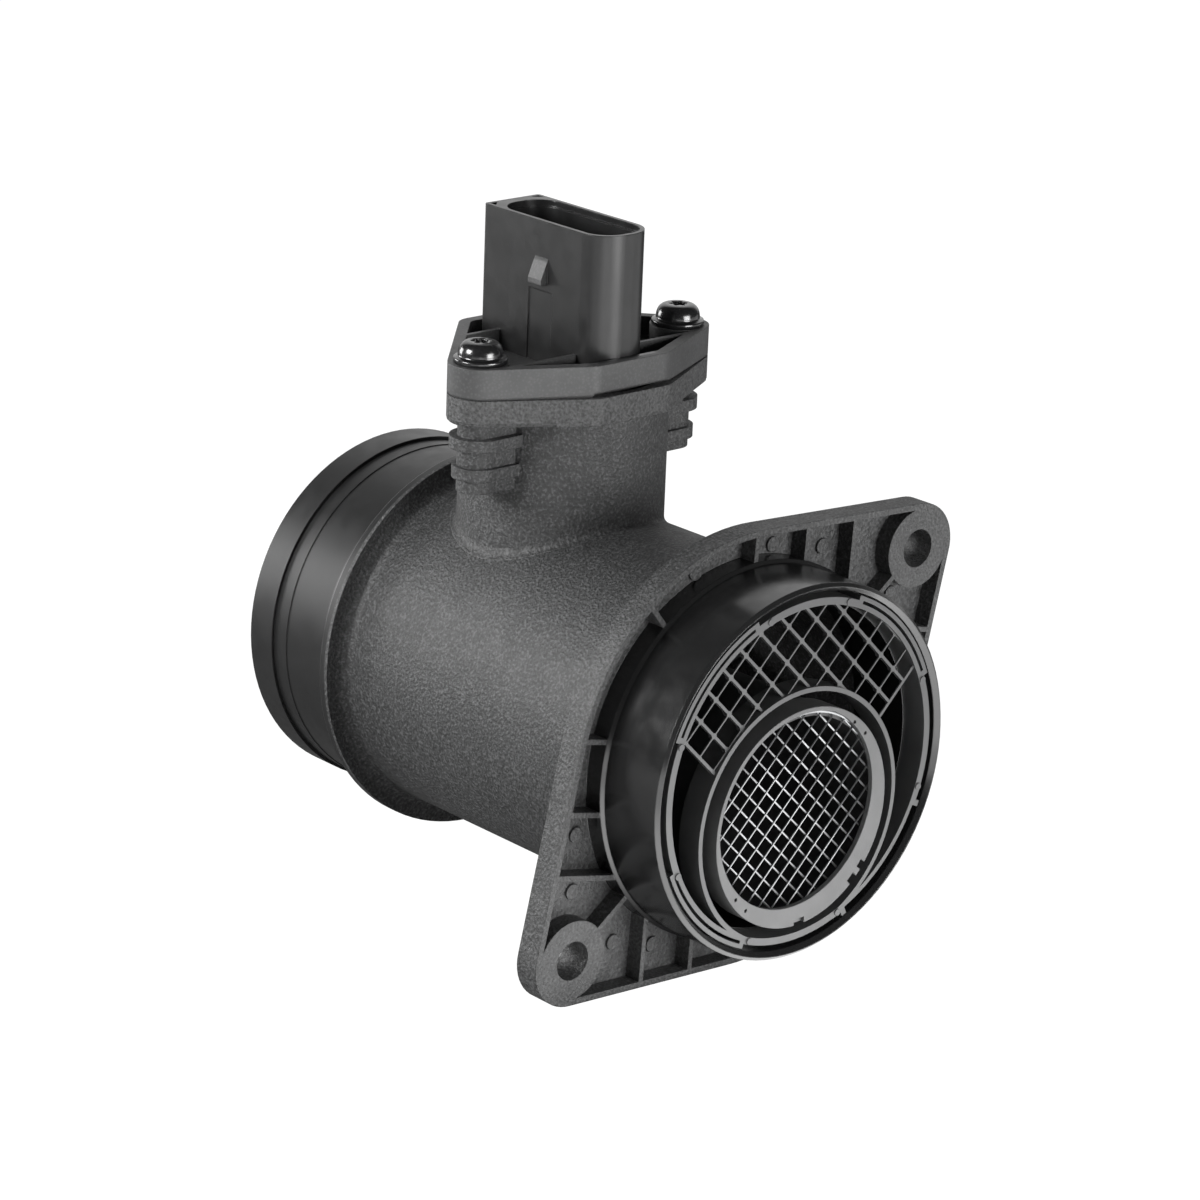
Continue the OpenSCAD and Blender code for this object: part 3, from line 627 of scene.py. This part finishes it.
@dataclass
class Duct:
    """The housing with the flange, the turret and the rounded root between turret and tube."""

    tube_r: float = 33.6 * MM
    turret_r: float = 19.6 * MM
    turret_x: float = -54.2 * MM
    fillet: float = 1.2 * MM
    bury: float = 0.6 * MM
    around: int = 192
    across: int = 9

    def build(self) -> None:
        """Dress the housing and lay the fillet."""
        finish = HousingPlastic().material()
        dress("housing", finish)
        mesh = grid_mesh("turret_root", [(self.fillet_points(), True, True)])
        place("turret_root", mesh, finish)

    def fillet_points(self) -> np.ndarray:
        """Carry the fillet's closed profile along the seam of turret and tube.

        At the turret angle a the seam lies at y = R sin a, x = X + R cos a and
        z = sqrt(T^2 - y^2). The profile is a parabola that leaves the turret at a height f above
        the seam and meets the tube at a distance f outside the turret. It closes inside both
        walls, as deep as bury says.

        Returns:
            Points of shape (around, across + 3, 3).
        """
        a = np.linspace(0, 2 * np.pi, self.around, endpoint=False)[:, None]
        u = np.linspace(0, 1, self.across)[None, :, None]
        rise = np.array([0, 0, self.fillet])
        depth = np.array([0, 0, self.bury])
        seam = self.on_tube(a, 0.0)
        foot = self.on_tube(a, self.fillet)
        within = self.on_tube(a, -self.bury)
        arc = (1 - u) ** 2 * (seam + rise) + 2 * u * (1 - u) * seam + u ** 2 * foot
        return np.concatenate([arc, foot - depth, within - depth, within + rise + depth], axis=1)[:, ::-1]

    def on_tube(self, a: np.ndarray, out: float) -> np.ndarray:
        """Find points on the tube round the turret.

        Args:
            a: Angles about the turret's axis, from +X towards +Y.
            out: How far outside the turret wall they lie.

        Returns:
            Points of the shape of a, with a last axis of three.
        """
        r = self.turret_r + out
        y = r * np.sin(a)
        x = self.turret_x + r * np.cos(a)
        z = np.sqrt(self.tube_r ** 2 - y ** 2)
        return np.stack([x, y, z], axis=-1)


@dataclass
class FineScreen:
    """The fine screen: two layers of round wires at right angles, in a thin rim."""

    radius: float = 20.1 * MM
    rim_in: float = 19.5 * MM
    drop: float = 8.5 * MM
    front: float = 13.6 * MM
    rim_back: float = 13.15 * MM
    wire_r: float = 0.17 * MM
    back_r: float = 0.21 * MM
    pitch_front: float = 3.05 * MM
    first_front: float = 1.16 * MM
    pitch_back: float = 2.9 * MM
    first_back: float = -1.17 * MM
    count: int = 7
    sides: int = 10
    rim_steps: int = 96

    def build(self) -> None:
        """Lay the wires and the rim, and hide the flat stand-in."""
        back_depth = 2 * self.wire_r + 0.8 * self.back_r
        layers = (
            (45.0, self.pitch_front, self.first_front, self.wire_r, self.wire_r),
            (-45.0, self.pitch_back, self.first_back, self.back_r, back_depth),
        )
        grids: List[Grid] = []
        for turn, pitch, first, r, depth in layers:
            for k in range(-self.count, self.count + 1):
                offset = first + k * pitch
                if abs(offset) < self.radius - 0.4 * MM:
                    points = self.wire_points(turn, offset, r, self.front - depth)
                    grids.append((points, False, True))
        tips = range(len(grids))
        grids.append((self.rim_points(), True, True))
        mesh = grid_mesh("fine_screen_wires", grids, tips)
        even = (1.0, 1.0, 1.0)
        wire = DrawnMetal("screen_wire_finish", (0.36, 0.365, 0.37), 0.45, even).material()
        piece = place("fine_screen_wires", mesh, wire)
        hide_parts("fine_screen")

    def wire_points(self, turn: float, offset: float, r: float, x: float) -> np.ndarray:
        """Carry a circle along one chord of the screen, as a straight wire.

        Args:
            turn: The wire's angle in the plane of the screen, in degrees.
            offset: How far the chord lies from the middle.
            r: The wire's radius.
            x: The place of the wire's middle line along the duct.

        Returns:
            Points of shape (2, sides, 3).
        """
        half = math.sqrt(self.radius ** 2 - offset ** 2) - 0.1 * MM
        s = np.array([[-half], [half]])
        b = np.linspace(0, 2 * np.pi, self.sides, endpoint=False)[None, :]
        c = math.cos(math.radians(turn))
        d = math.sin(math.radians(turn))
        along = s + 0 * b
        side = offset + r * np.cos(b) + 0 * s
        y = along * c - side * d
        z = along * d + side * c - self.drop
        return np.stack([x + r * np.sin(b) + 0 * s, y, z], axis=-1)

    def rim_points(self) -> np.ndarray:
        """Carry a small rectangle round a circle, as the rim.

        Returns:
            Points of shape (rim_steps, 4, 3).
        """
        a = np.linspace(0, 2 * np.pi, self.rim_steps, endpoint=False)[:, None]
        r = np.array([[self.rim_in, self.radius, self.radius, self.rim_in]])
        x = np.array([[self.rim_back, self.rim_back, self.front, self.front]])
        return np.stack([x + 0 * a, r * np.cos(a), r * np.sin(a) - self.drop], axis=-1)


@dataclass
class HeadScrews:
    """Two domed screws with a six-lobed recess."""

    x: float = -50.1 * MM
    y: float = 24.2 * MM
    seat: float = 65.4 * MM
    washer_r: float = 5.0 * MM
    washer_h: float = 1.0 * MM
    dome_r: float = 4.2 * MM
    dome_h: float = 2.9 * MM
    flat_r: float = 2.2 * MM
    recess_r: float = 1.4 * MM
    lobe: float = 0.26 * MM
    recess_l: float = 1.7 * MM
    shank_r: float = 2.1 * MM
    shank_l: float = 18.0 * MM
    around: int = 96
    dome_rows: int = 16

    def build(self) -> None:
        """Make both screws as one piece and hide the plain ones."""
        grids = [(self.points(s * self.y), False, True) for s in (-1, 1)]
        mesh = grid_mesh("head_screw_pair", grids, (0, 1))
        piece = place("head_screw_pair", mesh, BlackedSteel().material())
        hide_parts("head_screws")

    def points(self, y: float) -> np.ndarray:
        """Turn a profile about one screw's axis, from the recess out and down to the shank's end.

        The recess edge is the circle R + L cos 6a, rounded by a short slope, and its floor is flat.
        A flat ring lies round it, and from there a full quarter round falls to the flat washer.

        Args:
            y: The place of the screw's axis across the duct.

        Returns:
            Points of shape (rows, around, 3).
        """
        a = np.linspace(0, 2 * np.pi, self.around, endpoint=False)[None, :]
        edge = self.recess_r + self.lobe * np.cos(6 * a)
        flat = self.washer_h
        foot = flat + 0.1 * MM
        top = flat + self.dome_h
        floor = top - self.recess_l
        lip = self.washer_r
        rows: List[Tuple[Any, float]] = [
            (0.15 * edge, floor),
            (0.8 * edge, floor),
            (0.97 * edge, floor + 0.1 * MM),
            (edge, top - 0.3 * MM),
            (edge + 0.05 * MM, top - 0.1 * MM),
            (edge + 0.14 * MM, top),
            (self.flat_r - 0.2 * MM, top),
        ]
        for e in np.linspace(0, np.pi / 2, self.dome_rows):
            out = (self.dome_r - self.flat_r) * np.sin(e) ** 0.9
            rows.append((self.flat_r + out, foot + (top - foot) * np.cos(e) ** 0.85))
        rows += [
            (self.dome_r + 0.02 * MM, foot),
            (self.dome_r + 0.15 * MM, flat),
            (lip - 0.25 * MM, flat),
            (lip - 0.06 * MM, flat - 0.08 * MM),
            (lip, flat - 0.25 * MM),
            (lip, 0.12 * MM),
            (lip - 0.12 * MM, 0.0),
            (self.shank_r, 0.0),
            (self.shank_r, 0.6 * MM - self.shank_l),
            (0.7 * self.shank_r, -self.shank_l),
            (0.2 * self.shank_r, -self.shank_l),
        ]
        r = np.concatenate([radius + 0 * a for radius, _ in rows])
        z = np.concatenate([height + 0 * a for _, height in rows])
        return np.stack([self.x + r * np.cos(a), y + r * np.sin(a), self.seat + z], axis=-1)


def satin(name: str, colour: Colour, roughness: float, edge: float = 0.25 * MM) -> MouldedPlastic:
    """A satin plastic, its sharp edges softened over so many metres."""
    return MouldedPlastic(name, colour, roughness, Grain.SATIN, edge=edge)


@dataclass
class CarriedNodes:
    """The nodes whose shape stays as it is, with their finishes."""

    finishes: Dict[str, Any] = field(default_factory=lambda: {
        "grid_insert": satin("grid_plastic_finish", (0.085, 0.086, 0.087), 0.42, 0.12 * MM),
        "flow_tube": satin("inner_plastic_finish", (0.02, 0.02, 0.021), 0.45),
        "screen_frame": MouldedPlastic("screen_frame_finish", (0.13, 0.131, 0.132), 0.5, Grain.SPARK),
        "connector_head": HeadPlastic(),
        "seal_ring": Rubber(),
        "sensor_body": satin("finger_plastic_finish", (0.02, 0.02, 0.022), 0.4),
        "channel_cover": satin("channel_cover_finish", (0.022, 0.022, 0.024), 0.4),
        "electronics_cover": satin("electronics_cover_finish", (0.022, 0.022, 0.024), 0.4),
        "base_plate": DrawnMetal("plate_aluminium_finish", (0.72, 0.73, 0.75), 0.35),
        "hybrid_board": Ceramic(),
        "sensing_element": CoatedGlass("sensor_glass_finish", (0.03, 0.035, 0.06), 1.0 * MM),
        "air_temperature_probe": CoatedGlass("probe_glass_finish", (0.02, 0.07, 0.03), 4.0 * MM),
    })
    terminals: int = 5

    def build(self) -> None:
        """Dress each node."""
        for node, finish in self.finishes.items():
            dress(node, finish.material())
        brass = DrawnMetal("terminal_brass_finish", (0.74, 0.66, 0.45), 0.3).material()
        for number in range(1, self.terminals + 1):
            dress(f"terminal_{number}", brass)


@dataclass(frozen=True)
class Lamp:
    """One soft area lamp, placed by its direction from the part.

    The azimuth counts from the camera's own, both angles are in degrees, and the rest is in metres
    and watts.
    """

    name: str
    azimuth: float
    elevation: float
    distance: float
    width: float
    height: float
    watts: float


@dataclass
class Studio:
    """The pale floor, the lamps, the world and the camera of the photograph.

    The camera's three angles are in degrees. Lengths are in metres, the lens in millimetres. Each
    shine is how bright a patch of the floor is to the gloss on the part.
    """

    centre: Tuple[float, float, float] = (-0.04, 0.0, 0.02)
    azimuth: float = 48.049
    elevation: float = 18.746
    roll: float = 2.230
    distance: float = 749.56 * MM
    shift_right: float = -27.05 * MM
    shift_up: float = 27.33 * MM
    lens: float = 123.657
    floor_size: float = 3.0
    floor_white: float = 1.12
    floor_shine: float = 4.5
    far_shine: float = 1.1
    shine_x: float = 0.03
    shine_y: float = -0.02
    shine_reach: Tuple[float, float] = (0.06, 0.2)
    front_shine: float = 2.8
    front_ahead: Tuple[float, float] = (0.12, 0.25)
    front_across: Tuple[float, float] = (0.1, 0.25)
    front_aside: float = 0.06
    room: float = 0.06
    backdrop_tilt: float = -10.0
    backdrop_edge: Tuple[float, float] = (0.62, 0.9)
    lamps: Tuple[Lamp, ...] = (
        Lamp("lamp_back_left", -115.0, 8.0, 0.8, 0.3, 0.3, 2.5),
        Lamp("lamp_left", -65.0, 25.0, 0.8, 0.3, 0.3, 6.2),
        Lamp("lamp_right", 50.0, 8.0, 0.8, 0.42, 0.3, 4.6),
        Lamp("lamp_right_low", 60.0, -10.0, 0.8, 0.3, 0.3, 0.8),
    )

    def build(self) -> None:
        """Make the whole studio."""
        self.make_camera()
        self.make_floor()
        self.make_world()
        for lamp in self.lamps:
            self.make_lamp(lamp)
        bpy.context.scene.view_settings.view_transform = "Standard"

    def direction(self, azimuth: float, elevation: float) -> Vector:
        """Unit vector out of the part at an azimuth from -Y towards +X and an elevation."""
        a, e = math.radians(azimuth), math.radians(elevation)
        return Vector((math.sin(a) * math.cos(e), -math.cos(a) * math.cos(e), math.sin(e)))

    def make_camera(self) -> None:
        """Place the camera where the photograph was taken from."""
        a, r = math.radians(self.azimuth), math.radians(self.roll)
        back = self.direction(self.azimuth, self.elevation)
        level = Vector((math.cos(a), math.sin(a), 0.0))
        upright = back.cross(level)
        right = level * math.cos(r) + upright * math.sin(r)
        up = upright * math.cos(r) - level * math.sin(r)
        spot = back * self.distance + right * self.shift_right + up * self.shift_up
        data = bpy.data.cameras.new("photo_camera")
        data.lens = self.lens
        data.sensor_width = 36.0
        data.clip_start = 0.05
        data.clip_end = 20.0
        camera = bpy.data.objects.new("photo_camera", data)
        bpy.context.scene.collection.objects.link(camera)
        axes = Matrix((right, up, back)).transposed().to_4x4()
        camera.matrix_world = Matrix.Translation(spot) @ axes
        bpy.context.scene.camera = camera

    def make_floor(self) -> None:
        """Lay a plain pale floor under the lowest point of the part."""
        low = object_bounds()[0][2] - 0.05 * MM
        s = self.floor_size
        corners = [(-s, -s, low), (s, -s, low), (s, s, low), (-s, s, low)]
        mesh = bpy.data.meshes.new("studio_floor")
        mesh.from_pydata(corners, [], [(0, 1, 2, 3)])
        mesh.materials.append(self.floor_finish())
        floor = bpy.data.objects.new("studio_floor", mesh)
        bpy.context.scene.collection.objects.link(floor)
        floor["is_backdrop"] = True

    def floor_finish(self) -> bpy.types.Material:
        """Build the floor's node tree.

        The camera sees the floor white. The gloss on the part mirrors it bright in a near patch
        beside the flange and in a front patch farther off towards the camera, and dim elsewhere.
        The front patch is placed by the distance ahead, towards the camera, and the distance
        across.

        Returns:
            The finished material.
        """
        t = NodeTree("studio_floor_finish")
        pale = t.ramp(t.noise(0.4), 0.3, 0.7)
        diffuse = t.add("ShaderNodeBsdfDiffuse")
        t.put(diffuse.inputs["Color"], t.blend(pale, (0.8, 0.8, 0.8), (0.83, 0.83, 0.83)))
        path = t.add("ShaderNodeLightPath")
        camera = path.outputs["Is Camera Ray"]
        glossy = path.outputs["Is Glossy Ray"]
        x, y = t.axes()[0], t.axes()[1]

        away = t.length(t.math("SUBTRACT", x, self.shine_x), t.math("SUBTRACT", y, self.shine_y))
        patch = t.ramp(away, *self.shine_reach, self.floor_shine, self.far_shine)
        near = t.times(t.ramp(x, 0.0, 0.02), patch)

        a = math.radians(self.azimuth)
        ahead = t.math("SUBTRACT", t.times(x, math.sin(a)), t.times(y, math.cos(a)))
        across = t.math("ADD", t.times(x, math.cos(a)), t.times(y, math.sin(a)))
        across = t.math("ABSOLUTE", t.math("SUBTRACT", across, self.front_aside))
        patch = t.ramp(ahead, *self.front_ahead, 0.0, self.front_shine)
        front = t.times(patch, t.ramp(across, *self.front_across, 1.0, 0.0))

        mirrored = t.times(glossy, t.math("MAXIMUM", near, front))
        glow = t.add("ShaderNodeEmission")
        glow.inputs["Color"].default_value = (1.0, 1.0, 1.0, 1.0)
        t.put(glow.inputs["Strength"], t.math("ADD", t.times(camera, self.floor_white), mirrored))
        mix = t.add("ShaderNodeMixShader")
        t.put(mix.inputs["Fac"], t.math("ADD", t.times(camera, 0.9), t.times(glossy, 0.7)))
        t.put(mix.inputs[1], diffuse.outputs[0])
        t.put(mix.inputs[2], glow.outputs[0])
        t.put(t.output.inputs["Surface"], mix.outputs[0])
        return t.material

    def make_world(self) -> None:
        """Make the room.

        The camera and the rays through clear parts see it white. All other rays see a dim room
        that grows to white opposite the camera, as a backdrop. The edge of that backdrop is given
        by two cosines of the angle from its middle.
        """
        world = bpy.data.worlds.new("studio_world")
        bpy.context.scene.world = world
        world.use_nodes = True
        nodes = world.node_tree.nodes
        link = world.node_tree.links.new
        nodes.clear()
        path = nodes.new("ShaderNodeLightPath")
        shown = nodes.new("ShaderNodeMath")
        shown.operation = "MAXIMUM"
        link(path.outputs["Is Camera Ray"], shown.inputs[0])
        link(path.outputs["Is Transmission Ray"], shown.inputs[1])

        towards = nodes.new("ShaderNodeVectorMath")
        towards.operation = "DOT_PRODUCT"
        link(nodes.new("ShaderNodeTexCoord").outputs["Generated"], towards.inputs[0])
        towards.inputs[1].default_value = tuple(-self.direction(self.azimuth, self.backdrop_tilt))
        level = nodes.new("ShaderNodeMapRange")
        level.interpolation_type = "SMOOTHSTEP"
        numbers = (*self.backdrop_edge, self.room, 1.0)
        for key, number in zip(("From Min", "From Max", "To Min", "To Max"), numbers):
            level.inputs[key].default_value = number
        link(towards.outputs["Value"], level.inputs["Value"])

        dim = nodes.new("ShaderNodeBackground")
        white = nodes.new("ShaderNodeBackground")
        for light in (dim, white):
            light.inputs["Color"].default_value = (1.0, 1.0, 1.0, 1.0)
        white.inputs["Strength"].default_value = 1.0
        link(level.outputs["Result"], dim.inputs["Strength"])
        mix = nodes.new("ShaderNodeMixShader")
        link(shown.outputs[0], mix.inputs["Fac"])
        link(dim.outputs[0], mix.inputs[1])
        link(white.outputs[0], mix.inputs[2])
        link(mix.outputs[0], nodes.new("ShaderNodeOutputWorld").inputs["Surface"])

    def make_lamp(self, lamp: Lamp) -> None:
        """Add one area lamp that faces the part.

        Args:
            lamp: Where it stands, its size and its power.
        """
        out = self.direction(self.azimuth + lamp.azimuth, lamp.elevation)
        data = bpy.data.lights.new(lamp.name, "AREA")
        data.shape = "RECTANGLE"
        data.size = lamp.width
        data.size_y = lamp.height
        data.energy = lamp.watts
        light = bpy.data.objects.new(lamp.name, data)
        bpy.context.scene.collection.objects.link(light)
        light.location = Vector(self.centre) + out * lamp.distance
        light.rotation_euler = (-out).to_track_quat("-Z", "Y").to_euler()


def main() -> None:
    """Build the classes in order."""
    logging.basicConfig(level=logging.INFO, format="%(name)s: %(message)s")
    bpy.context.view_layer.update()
    builders: List[Callable[[], None]] = [
        Studio().build, Duct().build, CarriedNodes().build, FineScreen().build, HeadScrews().build,
    ]
    for build in builders:
        build()
    LOG.info("sizes written")


if __name__ == "__main__":
    main()
